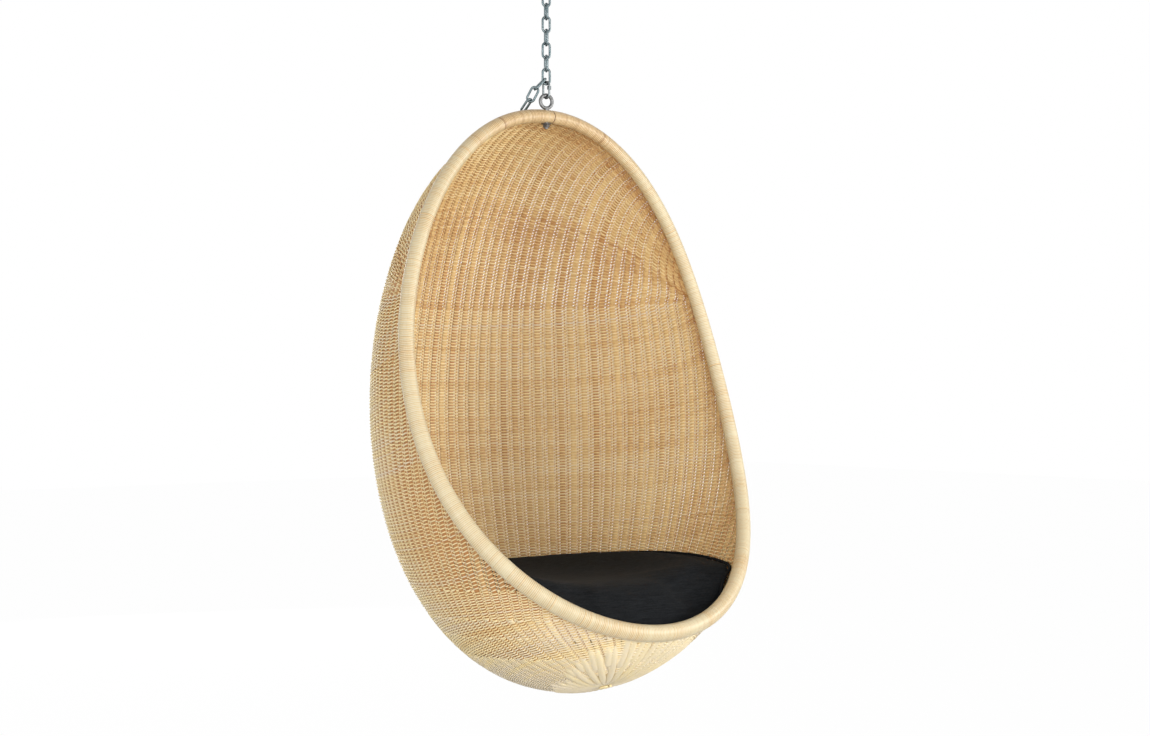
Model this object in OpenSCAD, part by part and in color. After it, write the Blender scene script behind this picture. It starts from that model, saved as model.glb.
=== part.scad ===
// Hanging egg chair: a woven egg shell with a bound pole rim, hung on a link chain.
// Origin: centre of the ceiling plate's upper face. +Z is up, the chair looks along -Y.
// Every shape below the ceiling takes its height from the pieces that it hangs on.

/* [Egg shell] */
// Height of the shell's middle surface along its own axis, mm
egg_h = 1237; // [900:1:1500]
// Radius that the round sections grow from, mm
egg_r = 418; // [300:1:520]
// Depth of a section over its width at mid height
egg_deep = 1.08; // [0.9:0.01:1.3]
// How far the middle of the egg is pushed towards the back, mm
egg_shift = -36; // [-80:1:40]
// Lean of the egg's axis, top to the back, degrees
egg_lean = 3; // [0:0.5:10]
// Thickness of the weave, mm
shell_t = 8; // [4:0.5:14]
// Number of stations round the shell's edge
shell_steps = 72; // [48:4:96]
// Number of rings from the edge to the middle of the back
shell_rings = 16; // [10:1:24]

/* [Rim] */
// Diameter of the rim with its binding at the top of the chair, mm
rim_d_top = 29; // [22:0.5:40]
// Diameter of the rim with its binding at the bottom of the chair, mm
rim_d_bottom = 34; // [22:0.5:44]
// Thickness of the binding, mm
bind_t = 1.6; // [1:0.1:3]
// Distance of the binding's seam from the eye, along the rim, mm
seam_x = 15; // [12:0.5:60]
// Width of the seam, mm
seam_w = 2.5; // [1:0.1:6]
// Number of stations along the rim
rim_steps = 90; // [60:2:120]
// Number of sides of the rim's section
rim_sides = 12; // [8:2:16]

/* [Chain] */
// Number of links between the quick link and the ceiling swivel
chain_links = 8; // [8:1:8]
// Wire diameter of a link, mm
link_wire = 5.2; // [4:0.1:6]
// Inner length of a link, mm
link_l = 28.5; // [24:0.1:40]
// Inner width of a link, mm
link_w = 10.8; // [9.6:0.1:16]
// Turn of the chain about the vertical, degrees
chain_turn = -20; // [-45:1:45]
// Wire diameter of the quick link, mm
quick_wire = 4.8; // [4:0.1:5.6]
// Inner length of the quick link, mm
quick_l = 30.6; // [28:0.1:44]
// Inner width of the quick link, mm
quick_w = 12; // [10.5:0.1:16]
// Turn of the quick link about the vertical, degrees
quick_turn = -78; // [-110:1:-78]
// Opening in the quick link's leg, mm
quick_gap = 3.6; // [2:0.1:5]
// Length of the quick link's sleeve nut, mm
sleeve_l = 7.5; // [6:0.1:9]
// Width of the sleeve nut across its flats, mm
sleeve_af = 8; // [7.6:0.1:9]

/* [Eye bolt] */
// Wire diameter of the eye, mm
eye_wire = 7.8; // [6:0.1:10]
// Inner diameter of the eye, mm
eye_bore = 20.4; // [18:0.1:30]
// Turn of the eye about the vertical, degrees
eye_turn = -10; // [-30:1:30]
// Thread diameter of the shank, mm
shank_d = 8; // [6:0.1:10]
// Outer diameter of the washer under the rim, mm
washer_d = 22; // [16:0.5:28]
// Thickness of the washer, mm
washer_t = 1.6; // [1:0.1:3]
// Width of the nut across its flats, mm
nut_af = 13; // [12:0.1:17]
// Thickness of the nut, mm
nut_t = 6.5; // [5:0.1:8]

/* [Ceiling swivel] */
// Diameter of the ceiling plate, mm
plate_d = 76; // [70:1:120]
// Thickness of the ceiling plate, mm
plate_t = 5; // [4:0.5:8]
// Pitch circle of the plate's screw holes, mm
plate_pcd = 56; // [52:1:60]
// Diameter of a screw hole, mm
screw_hole = 6.5; // [5:0.1:8]
// Diameter of the swivel housing, mm
housing_d = 34; // [32:1:40]
// Depth of the swivel housing below the ceiling face, mm
housing_h = 18; // [17:0.5:24]
// Floor thickness of the swivel housing, mm
floor_t = 7; // [5:0.5:8]
// Diameter of the swivel's stem, mm
stem_d = 12; // [10:0.5:14]
// Inner diameter of the swivel's eye, mm
swivel_bore = 20; // [18:0.5:26]
// Wire diameter of the swivel's eye, mm
swivel_wire = 8; // [7:0.1:9]

/* [Seat cushion] */
// Height of the top seam at the sides, below the egg's middle, mm
seam_low = 347; // [300:1:420]
// Extra drop of the top seam at the front, mm
front_drop = 90; // [0:1:110]
// Extra drop of the top seam at the front and back, mm
end_drop = 28; // [0:1:50]
// Middle of the seat, below the egg's middle, mm
seat_low = 392; // [350:1:440]
// Underside of the cushion, below the egg's middle, mm
base_low = 562; // [540:1:580]
// Puff of the top panel beside its seam, mm
puff = 12; // [0:1:25]
// Height of the side band between its two seams, mm
band_h = 70; // [40:1:90]
// How far the seams are drawn in from the band, mm
draw_in = 6; // [2:0.5:12]
// Diameter of the piping in the top seam, mm
piping_d = 7; // [4:0.5:10]

/* [Hidden] */
$fn = 48;
seat = 0.3;          // clearance of a piece from what it hangs on or rests on
cane = "BurlyWood";
steel = "Silver";
cloth = "DimGray";

// ---------- heights, from the ceiling down ----------
swivel_ring = (swivel_bore + swivel_wire) / 2;
swivel_z = -housing_h - 1 - swivel_ring - swivel_wire / 2 + 2;
link_arc = (link_w + link_wire) / 2;
link_half = (link_l - link_w) / 2;
link_pitch = link_l - seat;
top_link_z = swivel_z - swivel_bore / 2 + seat - link_l / 2;
function link_z(n) = top_link_z - (chain_links - n) * link_pitch;
quick_arc = (quick_w + quick_wire) / 2;
quick_half = (quick_l - quick_w) / 2;
quick_z = link_z(1) - link_l / 2 + seat - quick_l / 2;
eye_ring = (eye_bore + eye_wire) / 2;
eye_z = quick_z - quick_l / 2 + seat - eye_bore / 2;
rim_top_z = eye_z - eye_ring - eye_wire / 2 - seat - rim_d_top / 2;

// ---------- the egg, in its own frame: [x, forward, up its axis] ----------
half_h = egg_h / 2;
egg_taper = -0.06;   // change of depth from the middle to the top
belly = [0.016, 0.022, -0.019];
mouth = [49, -181, 177, -49, -21.5];   // side view of the opening, mm
rim_out = 3.4;       // rim's centre line outside the weave's middle
function fullness(s) = 1 - belly[0] * s + belly[1] * s * s - belly[2] * pow(s, 3);
function deep_at(s) = egg_deep + egg_taper * s;
function shift_at(s) = -egg_shift * (1 - s * s);
function radius_at(s) = egg_r * sqrt(max(0, 1 - s * s)) * fullness(s);
function mouth_at(s) = (mouth[0] + mouth[1] * s + mouth[2] * s * s
    + mouth[3] * pow(s, 3) + mouth[4] * pow(s, 4)) * egg_h / 1237;
function egg_point(u) = let (k = egg_r * fullness(u[2]))
    [k * u[0], shift_at(u[2]) + deep_at(u[2]) * k * u[1], u[2] * half_h];
function egg_level(p) = let (s = max(-1.2, min(1.2, p[2] / half_h)), k = egg_r * fullness(s))
    pow(p[0] / k, 2) + pow((p[1] - shift_at(s)) / (deep_at(s) * k), 2) + s * s - 1;
function slope(p) = [for (i = [0:2]) let (e = [i == 0 ? 1 : 0, i == 1 ? 1 : 0, i == 2 ? 1 : 0])
    (egg_level(p + e) - egg_level(p - e)) / 2];
function unit(v) = v / norm(v);
function egg_depth(p) = egg_level(p) / norm(slope(p));

// ---------- the rim's line ----------
function half_width2(s) = pow(radius_at(s), 2) - pow((mouth_at(s) - shift_at(s)) / deep_at(s), 2);
function root(lo, hi, n) = n == 0 ? (lo + hi) / 2
    : let (m = (lo + hi) / 2) half_width2(m) > 0 ? root(lo, m, n - 1) : root(m, hi, n - 1);
s_low = root(-0.95, -0.6, 40);
s_top = root(1, 0.9, 40);
function rim_s(t) = (s_low + s_top) / 2 - (s_top - s_low) / 2 * cos(t);
function rim_x(t) = (sin(t) < 0 ? -1 : 1) * sqrt(max(0, half_width2(rim_s(t))));
function rim_line(t) = let (s = rim_s(t))
    [rim_x(t) * (1 + rim_out / max(50, radius_at(s))), mouth_at(s), s * half_h];
function rim_way(t) = unit(rim_line(t + 0.4) - rim_line(t - 0.4));
function rim_dir(t) = let (s = rim_s(t), r = sqrt(max(1e-9, 1 - s * s)), x = rim_x(t),
    y = (mouth_at(s) - shift_at(s)) / deep_at(s), q = max(1e-6, norm([x, y]))) [r * x / q, r * y / q, s];
function rim_r(t) = (rim_d_top + rim_d_bottom) / 4 - (rim_d_top - rim_d_bottom) / 4 * cos(t);

// the egg's frame set in the part's frame
function lean(p) = [p[0], -p[1] * cos(egg_lean) + p[2] * sin(egg_lean),
    p[1] * sin(egg_lean) + p[2] * cos(egg_lean)];
rim_top = lean(rim_line(180));
function place(p) = lean(p) - rim_top + [0, 0, rim_top_z];
function into_egg(p) = let (q = p + rim_top - [0, 0, rim_top_z])
    [q[0], -q[1] * cos(egg_lean) + q[2] * sin(egg_lean), q[1] * sin(egg_lean) + q[2] * cos(egg_lean)];
egg_mid = place([0, 0, 0]);

// stations along the rim, from one side of the seam round to the other
function seam_root(lo, hi, n) = n == 0 ? (lo + hi) / 2
    : let (m = (lo + hi) / 2) rim_line(m)[0] > seam_x ? seam_root(m, hi, n - 1) : seam_root(lo, m, n - 1);
seam_t = seam_root(150, 180, 30);
seam_half = seam_w / 2 / norm(rim_line(seam_t + 0.5) - rim_line(seam_t - 0.5));
rim_ts = [for (i = [0:rim_steps]) seam_t + seam_half + (360 - 2 * seam_half) * i / rim_steps];

// ---------- closed solids from rings of points ----------
function flat(v) = [for (a = v) each a];
function side_faces(rings, n, from = 0) = [for (j = [0:rings - 2], i = [0:n - 1])
    let (a = from + j * n + i, b = from + j * n + (i + 1) % n, c = a + n, d = b + n)
    each [[a, b, d], [a, d, c]]];
function turned(f) = [for (t = f) [t[0], t[2], t[1]]];
function loop_faces(rings, n) = [for (j = [0:rings - 1], i = [0:n - 1])
    let (k = (j + 1) % rings, a = j * n + i, b = j * n + (i + 1) % n, c = k * n + i, d = k * n + (i + 1) % n)
    each [[a, b, d], [a, d, c]]];

function rim_ring(t, out) = let (w = rim_way(t), b = unit(cross(w, [0, 1, 0])), n = cross(b, w),
    r = rim_r(t) + out) [for (i = [0:rim_sides - 1]) let (a = 360 * i / rim_sides)
        place(rim_line(t) + r * (cos(a) * b + sin(a) * n))];

module bolt_bore() {
    translate([0, 0, rim_top_z - 60])
        cylinder(d = shank_d + 2 * seat, h = 120);
}

module rim_pole() {
    color(cane) difference() {
        polyhedron(flat([for (t = rim_ts) rim_ring(t, -bind_t - seat)]),
            loop_faces(rim_steps + 1, rim_sides));
        bolt_bore();
    }
}

module rim_binding() {
    n = rim_sides;
    m = rim_steps + 1;
    outer = flat([for (t = rim_ts) rim_ring(t, 0)]);
    inner = flat([for (t = rim_ts) rim_ring(t, -bind_t)]);
    ends = [for (i = [0:n - 1]) let (k = (i + 1) % n, z = (m - 1) * n, f = m * n)
        each [[i, f + k, k], [i, f + i, f + k], [z + i, z + k, f + z + k], [z + i, f + z + k, f + z + i]]];
    color(cane) difference() {
        polyhedron(concat(outer, inner), concat(side_faces(m, n), turned(side_faces(m, n, m * n)), ends));
        bolt_bore();
    }
}

// ---------- the woven shell: rings that close in from the rim to the middle of the back ----------
back_dir = unit([0, -1, -0.3]);
function between(a, b, f) = let (w = acos(max(-1, min(1, a * b))))
    (sin((1 - f) * w) * a + sin(f * w) * b) / sin(w);
// share of the way that the rim's own section takes up, so that the weave stops at the binding
function edge_share(t) = let (u = rim_dir(t), p = egg_point(u), q = egg_point(between(u, back_dir, 0.02)),
    step = (q - p) / 0.02, w = rim_way(t), across = norm(step - (step * w) * w))
    (rim_r(t) + 1.5 * seat) / across;
function shell_way(j) = pow(j / shell_rings, 1.15);
function shell_mid(i, j) = let (t = 360 * (i + 0.5) / shell_steps, e = edge_share(t))
    egg_point(between(rim_dir(t), back_dir, e + (1 - e) * shell_way(j)));
function skin_point(p, out) = place(p + out * unit(slope(p)));
function skin(out) = concat(
    [for (j = [0:shell_rings - 1], i = [0:shell_steps - 1]) skin_point(shell_mid(i, j), out)],
    [skin_point(egg_point(back_dir), out)]);
function cap(n, rings, from) = [for (i = [0:n - 1])
    [from + (rings - 1) * n + i, from + (rings - 1) * n + (i + 1) % n, from + rings * n]];

module woven_shell() {
    n = shell_steps;
    f = n * shell_rings + 1;
    outside = concat(side_faces(shell_rings, n), cap(n, shell_rings, 0));
    inside = concat(side_faces(shell_rings, n, f), cap(n, shell_rings, f));
    edge = [for (i = [0:n - 1]) let (k = (i + 1) % n) each [[i, f + k, k], [i, f + i, f + k]]];
    color(cane)
        polyhedron(concat(skin(shell_t / 2), skin(-shell_t / 2)), concat(outside, turned(inside), edge));
}

// ---------- chain ----------
// One link in the XZ plane: two bent ends and two straight legs.
module oval_link(arc, half, wire) {
    for (m = [0, 1])
        mirror([0, 0, m])
            translate([0, 0, half])
                rotate([90, 0, 0])
                    rotate_extrude(angle = 180)
                        translate([arc, 0])
                            circle(d = wire);
    for (x = [-arc, arc])
        translate([x, 0, -half])
            cylinder(d = wire, h = 2 * half);
}

module chain_link(n) {
    color(steel)
        translate([0, 0, link_z(n)])
            rotate(chain_turn + (n % 2 == 1 ? 0 : 90))
                oval_link(link_arc, link_half, link_wire);
}

module quick_link() {
    color(steel)
        translate([0, 0, quick_z])
            rotate(quick_turn)
                difference() {
                    oval_link(quick_arc, quick_half, quick_wire);
                    translate([quick_arc, 0, sleeve_mid - quick_gap / 2])
                        cylinder(d = quick_wire + 1, h = quick_gap);
                }
}

sleeve_mid = quick_half - sleeve_l / 2 - 1.4;

module quick_link_sleeve() {
    color(steel)
        translate([0, 0, quick_z])
            rotate(quick_turn)
                translate([quick_arc, 0, sleeve_mid - sleeve_l / 2])
                    difference() {
                        cylinder(d = sleeve_af / cos(30), h = sleeve_l, $fn = 6);
                        translate([0, 0, -1])
                            cylinder(d = quick_wire + 2 * seat, h = sleeve_l + 2);
                    }
}

// The loose tail: three links that lean back over the rim from the lowest link.
// Each has its compass direction and its dip below the horizontal, in degrees.
tail_way = [[160, 45], [132, 62], [110, 50]];
tail_hook = [-2.2, 5.27];   // sideways from the chain's line, and down from the lowest link's middle
function heading(a) = [cos(a[0]) * cos(a[1]), sin(a[0]) * cos(a[1]), -sin(a[1])];
link_reach = link_half + link_arc;
function tail_start(k) = k == 0
    ? [tail_hook[0] * cos(chain_turn), tail_hook[0] * sin(chain_turn), link_z(1) - tail_hook[1]]
    : tail_start(k - 1) + heading(tail_way[k - 1]) * 2 * link_reach
        - (link_wire + seat) * unit(heading(tail_way[k - 1]) + heading(tail_way[k]));
// the link's flat side: the first and third lie level, the second stands on edge
function tail_flat(k) = let (d = heading(tail_way[k]), level = unit(cross(d, [0, 0, 1])))
    k == 1 ? unit(cross(d, level)) : level;

module tail_link(k) {
    d = heading(tail_way[k]);
    x = tail_flat(k);
    y = cross(-d, x);
    c = tail_start(k) + d * link_reach;
    color(steel)
        multmatrix([[x[0], y[0], -d[0], c[0]], [x[1], y[1], -d[1], c[1]], [x[2], y[2], -d[2], c[2]]])
            oval_link(link_arc, link_half, link_wire);
}

// ---------- eye bolt ----------
shank_end = rim_top_z - rim_d_top / 2 - washer_t - nut_t - 4;

module eye_bolt() {
    color(steel)
        translate([0, 0, eye_z])
            rotate(eye_turn) {
                rotate([90, 0, 0])
                    rotate_extrude()
                        translate([eye_ring, 0])
                            circle(d = eye_wire);
                translate([0, 0, shank_end - eye_z])
                    cylinder(d = shank_d, h = eye_z - eye_ring - shank_end);
            }
}

module eye_washer() {
    color(steel)
        translate([0, 0, rim_top_z - rim_d_top / 2 - seat - washer_t])
            difference() {
                cylinder(d = washer_d, h = washer_t);
                translate([0, 0, -1])
                    cylinder(d = shank_d + 2 * seat, h = washer_t + 2);
            }
}

module eye_nut() {
    color(steel)
        translate([0, 0, rim_top_z - rim_d_top / 2 - 2 * seat - washer_t - nut_t])
            difference() {
                cylinder(d = nut_af / cos(30), h = nut_t, $fn = 6);
                translate([0, 0, -1])
                    cylinder(d = shank_d + 0.2, h = nut_t + 2);
            }
}

// ---------- ceiling swivel ----------
recess_d = housing_d - 11;
thrust_t = 1.5;
swivel_nut_t = 6;

module ceiling_plate() {
    color(steel) difference() {
        rotate_extrude()
            polygon([[0, 0], [plate_d / 2, 0], [plate_d / 2, -plate_t + 1.5], [plate_d / 2 - 1.5, -plate_t],
                [housing_d / 2 + 2, -plate_t], [housing_d / 2, -plate_t - 2],
                [housing_d / 2, -housing_h + 2], [housing_d / 2 - 2, -housing_h], [0, -housing_h]]);
        translate([0, 0, -housing_h + floor_t])
            cylinder(d = recess_d, h = housing_h);
        translate([0, 0, -housing_h - 1])
            cylinder(d = stem_d + 2 * seat, h = housing_h);
        for (a = [45:90:315])
            rotate(a)
                translate([plate_pcd / 2, 0, -plate_t - 1])
                    cylinder(d = screw_hole, h = plate_t + 2);
    }
}

module thrust_washer() {
    color("Tan")
        translate([0, 0, -housing_h + floor_t + seat])
            difference() {
                cylinder(d = recess_d - 2 * seat - 1, h = thrust_t);
                translate([0, 0, -1])
                    cylinder(d = stem_d + 0.4, h = thrust_t + 2);
            }
}

module swivel_nut() {
    color(steel)
        translate([0, 0, -housing_h + floor_t + seat + thrust_t])
            difference() {
                cylinder(d = recess_d - 2 * seat - 2, h = swivel_nut_t, $fn = 6);
                translate([0, 0, -1])
                    cylinder(d = stem_d + 0.2, h = swivel_nut_t + 2);
            }
}

module swivel_eye() {
    color(steel)
        rotate(chain_turn) {
            translate([0, 0, swivel_z])
                rotate([90, 0, 0])
                    rotate_extrude()
                        translate([swivel_ring, 0])
                            circle(d = swivel_wire);
            translate([0, 0, swivel_z + swivel_ring])
                cylinder(d = stem_d, h = -2 - swivel_z - swivel_ring);
            translate([0, 0, -housing_h - 1 - 3])
                cylinder(d1 = stem_d, d2 = stem_d + 8, h = 3);
            translate([0, 0, -housing_h - 1])
                cylinder(d = stem_d + 8, h = 1 - seat);
        }
}

// ---------- seat cushion: lies in the bowl, its sides pushed up by the wall ----------
cushion_steps = 48;
wall_gap = shell_t / 2 + 1.8;     // from the weave's middle to the cloth where it rests
piping_gap = shell_t / 2 + 1.3 + piping_d / 2;    // and to the middle of the piping
seat_axis = [0, egg_mid[1], egg_mid[2]];
function ease(x) = let (c = max(0, min(1, x))) c * c * (3 - 2 * c);
function seam_z(a) = -seam_low - end_drop * pow(cos(a), 2) - front_drop * ease((58 - abs(a)) / 32);
function at(a, r, z) = seat_axis + [r * sin(a), -r * cos(a), z];
// inside the weave by a gap, and behind the rim by the same gap, across the slope of the opening
function inside(p, gap) = egg_depth(p) < -gap
    && p[1] < mouth_at(p[2] / half_h) - 1.25 * (rim_d_bottom / 2 + gap);
function wall_root(a, z, gap, lo, hi, n) = n == 0 ? lo
    : let (m = (lo + hi) / 2) inside(into_egg(at(a, m, z)), gap)
        ? wall_root(a, z, gap, m, hi, n - 1) : wall_root(a, z, gap, lo, m, n - 1);
function wall(a, z, gap) = wall_root(a, z, gap, 0, egg_r * 1.4, 16);
function angle(i) = -180 + 360 * (i + 0.5) / cushion_steps;
seam_gap = max(wall_gap + draw_in, piping_gap + piping_d / 2 + 2 * seat);
function top_ring(f) = [for (i = [0:cushion_steps - 1]) let (a = angle(i), z = seam_z(a))
    at(a, f * wall(a, z, seam_gap), -seat_low + (z + seat_low) * pow(f, 2.2) + puff * sin(180 * pow(f, 3)))];
function side_ring(v) = [for (i = [0:cushion_steps - 1]) let (a = angle(i), z = seam_z(a) - band_h * v)
    at(a, wall(a, z, seam_gap - draw_in * sin(180 * v)), z)];
function low_ring(v) = [for (i = [0:cushion_steps - 1]) let (a = angle(i), z0 = seam_z(a) - band_h,
    z = z0 + (-base_low - z0) * v) at(a, wall(a, z, seam_gap - draw_in * ease(v * 4)), z)];
cushion_rings = concat([for (f = [0.2, 0.45, 0.7, 0.86, 0.95, 1]) top_ring(f)],
    [for (v = [0.15, 0.5, 0.85, 1]) side_ring(v)], [for (v = [0.25, 0.6, 0.85, 1]) low_ring(v)]);

module seat_cushion() {
    n = cushion_steps;
    m = len(cushion_rings);
    points = concat(flat(cushion_rings), [at(0, 0, -seat_low), at(0, 0, -base_low)]);
    first = [for (i = [0:n - 1]) [i, m * n, (i + 1) % n]];
    last = [for (i = [0:n - 1]) [(m - 1) * n + i, (m - 1) * n + (i + 1) % n, m * n + 1]];
    color(cloth)
        polyhedron(points, concat(side_faces(m, n), first, last));
}

function piping_mid(i) = let (a = angle(i), z = seam_z(a)) at(a, wall(a, z, piping_gap), z);

module cushion_piping() {
    n = cushion_steps;
    rings = [for (i = [0:n - 1])
        let (p = piping_mid(i), w = unit(piping_mid((i + 1) % n) - piping_mid((i + n - 1) % n)),
            b = unit(cross(w, [0, 0, 1])), c = cross(b, w))
        [for (k = [0:5]) let (g = 60 * k) p + piping_d / 2 * (cos(g) * b + sin(g) * c)]];
    color("Black")
        polyhedron(flat(rings), loop_faces(n, 6));
}

ceiling_plate();
thrust_washer();
swivel_nut();
swivel_eye();
chain_link(8);  // chain_link_8
chain_link(7);  // chain_link_7
chain_link(6);  // chain_link_6
chain_link(5);  // chain_link_5
chain_link(4);  // chain_link_4
chain_link(3);  // chain_link_3
chain_link(2);  // chain_link_2
chain_link(1);  // chain_link_1
quick_link();
quick_link_sleeve();
tail_link(0);  // tail_link_1
tail_link(1);  // tail_link_2
tail_link(2);  // tail_link_3
eye_bolt();
eye_washer();
eye_nut();
rim_pole();
rim_binding();
woven_shell();
seat_cushion();
cushion_piping();
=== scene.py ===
import math

import bpy
import numpy as np
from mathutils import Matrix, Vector


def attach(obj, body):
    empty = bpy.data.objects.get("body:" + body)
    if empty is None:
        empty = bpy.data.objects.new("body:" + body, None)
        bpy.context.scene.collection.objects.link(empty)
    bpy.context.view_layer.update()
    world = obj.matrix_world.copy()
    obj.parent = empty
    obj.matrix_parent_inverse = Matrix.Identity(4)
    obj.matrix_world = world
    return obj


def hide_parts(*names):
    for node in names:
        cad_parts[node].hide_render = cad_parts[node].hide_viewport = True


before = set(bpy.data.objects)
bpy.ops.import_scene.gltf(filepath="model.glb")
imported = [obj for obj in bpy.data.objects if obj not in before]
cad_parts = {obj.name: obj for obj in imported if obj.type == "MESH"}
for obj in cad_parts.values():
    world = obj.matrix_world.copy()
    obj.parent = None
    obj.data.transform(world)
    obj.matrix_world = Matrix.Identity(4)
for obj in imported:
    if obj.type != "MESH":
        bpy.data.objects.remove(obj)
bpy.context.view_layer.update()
rng = np.random.default_rng(11)
scene = bpy.context.scene

# ---------------------------------------------------------------- camera
camera = bpy.data.objects.new("camera", bpy.data.cameras.new("camera"))
scene.collection.objects.link(camera)
camera.location = (-2.8799, -3.6978, -0.8890)
camera.rotation_euler = (math.radians(90), 0, math.radians(-38.676))
camera.data.lens = 67.58
camera.data.sensor_width = 36
camera.data.clip_end = 60
scene.camera = camera

# ---------------------------------------------------------------- the egg
# in mm and in its own frame: across, forward, up
HALF = 618.5
WIDE = 418.0
LEAN = math.radians(3)
MIDDLE = np.array([0, -57.678, -958.869])
OUTSIDE = 1300.0  # further than any point of the egg lies from another


def full(s):
    return 1 - 0.016 * s + 0.022 * s * s + 0.019 * s ** 3


def deep(s):
    return 1.08 - 0.06 * s


def shift(s):
    return 36 * (1 - s * s)


def mouth(s):
    return 49 - 181 * s + 177 * s ** 2 - 49 * s ** 3 - 21.5 * s ** 4


def level(p):
    """Under 0 inside the egg, 0 on its surface and over 0 outside."""
    s = np.clip(p[..., 2] / HALF, -1.2, 1.2)
    k = WIDE * full(s)
    return (p[..., 0] / k) ** 2 + ((p[..., 1] - shift(s)) / (deep(s) * k)) ** 2 + s * s - 1


def slope(p):
    return np.stack([(level(p + e) - level(p - e)) / 2 for e in np.eye(3)], -1)


def normal(p):
    g = slope(p)
    return g / np.linalg.norm(g, axis=-1, keepdims=True)


def depth(p):
    """Distance from the egg's surface, mm, under 0 inside."""
    return level(p) / np.linalg.norm(slope(p), axis=-1)


def turned(p):
    """The turn between the two frames. The same turn leads back."""
    c, s = math.cos(LEAN), math.sin(LEAN)
    return np.stack([p[..., 0], -p[..., 1] * c + p[..., 2] * s, p[..., 1] * s + p[..., 2] * c], -1)


def place(p):
    """From the egg's frame to the part's frame."""
    return turned(p) + MIDDLE


def into_egg(p):
    """From the part's frame to the egg's frame."""
    return turned(p - MIDDLE)


def unit(v):
    return v / np.maximum(np.linalg.norm(v, axis=-1, keepdims=True), 1e-9)


def ease(x):
    """From 0 to 1, level at both ends."""
    c = np.clip(x, 0, 1)
    return c * c * (3 - 2 * c)


def lengths(points):
    """Distance along a line of points, at each of them."""
    return np.concatenate([[0], np.cumsum(np.linalg.norm(np.diff(points, axis=0), axis=1))])


def points_at(where, along, points):
    """Points at the distances where, on a line whose own points lie at the distances along."""
    return np.stack([np.interp(where, along, points[:, i]) for i in range(3)], -1)


def narrow(lo, hi, lower, halvings):
    """Halves the range from lo to hi again and again; lower says where its lower end moves up."""
    for _ in range(halvings):
        m = (lo + hi) / 2
        up = lower(m)
        lo, hi = np.where(up, m, lo), np.where(up, hi, m)
    return lo, hi


def shoot(origin, ways):
    """Where each way from a point inside the egg meets its surface."""
    lo, _ = narrow(np.zeros(len(ways)), np.full(len(ways), OUTSIDE),
                   lambda m: level(origin + ways * m[:, None]) < 0, 34)
    return origin + ways * lo[:, None]


# ---------------------------------------------------------------- meshes
MESH_POINTS = 180000


def make_mesh(name, points, faces, tone=None, uv=None, kind=None):
    """points in mm in the part's frame; faces (n, 4) or (n, 3); tone and kind one number per point."""
    mesh = bpy.data.meshes.new(name)
    points = np.asarray(points, np.float32) / 1000
    faces = np.asarray(faces, np.int32)
    sides = faces.shape[1]
    mesh.vertices.add(len(points))
    mesh.vertices.foreach_set("co", points.ravel())
    mesh.loops.add(faces.size)
    mesh.loops.foreach_set("vertex_index", faces.ravel())
    mesh.polygons.add(len(faces))
    mesh.polygons.foreach_set("loop_start", np.arange(0, faces.size, sides, dtype=np.int32))
    mesh.polygons.foreach_set("use_smooth", np.ones(len(faces), bool))
    for key, values in (("tone", tone), ("kind", kind)):
        if values is not None:
            layer = mesh.attributes.new(key, "FLOAT", "POINT")
            layer.data.foreach_set("value", np.asarray(values, np.float32))
    if uv is not None:
        layer = mesh.uv_layers.new(name="OFBake")
        layer.data.foreach_set("uv", np.asarray(uv, np.float32)[faces.ravel()].ravel())
    mesh.update(calc_edges=True)
    mesh.validate()
    thing = bpy.data.objects.new(name, mesh)
    scene.collection.objects.link(thing)
    return thing


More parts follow.
